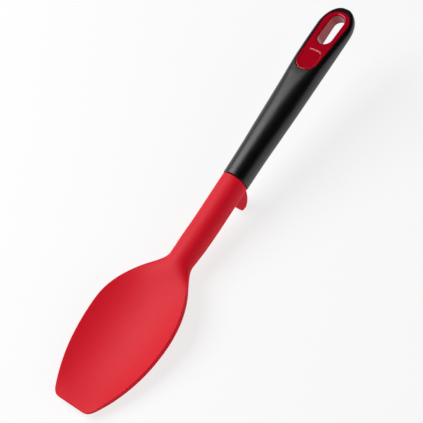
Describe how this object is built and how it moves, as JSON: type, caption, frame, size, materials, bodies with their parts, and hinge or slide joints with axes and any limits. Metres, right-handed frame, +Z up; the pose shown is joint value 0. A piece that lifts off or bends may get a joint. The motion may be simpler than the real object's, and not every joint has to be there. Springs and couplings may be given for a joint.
{
  "type": "spoon spatula",
  "caption": "Silicone spoon spatula with a straight scraping tip, a round neck with a rest hook, and a black handle with a glossy hanging insert.",
  "frame": {"origin": "on the table, under the centre of the tool's box, with the tool lying on its bowl and its rest hook", "axes": "+X along the tool towards the butt of the handle, +Z up out of the bowl, Y across the bowl"},
  "size_m": [0.3176, 0.0658, 0.0587],
  "materials": {
    "silicone_red": "matte",
    "core_nylon": "matte",
    "handle_black": "satin",
    "insert_red": "gloss"
  },
  "bodies": {
    "root": {"silicone_head": "silicone_red", "nylon_core": "core_nylon", "handle_grip": "handle_black", "hang_insert": "insert_red"}
  },
  "joints": []
}
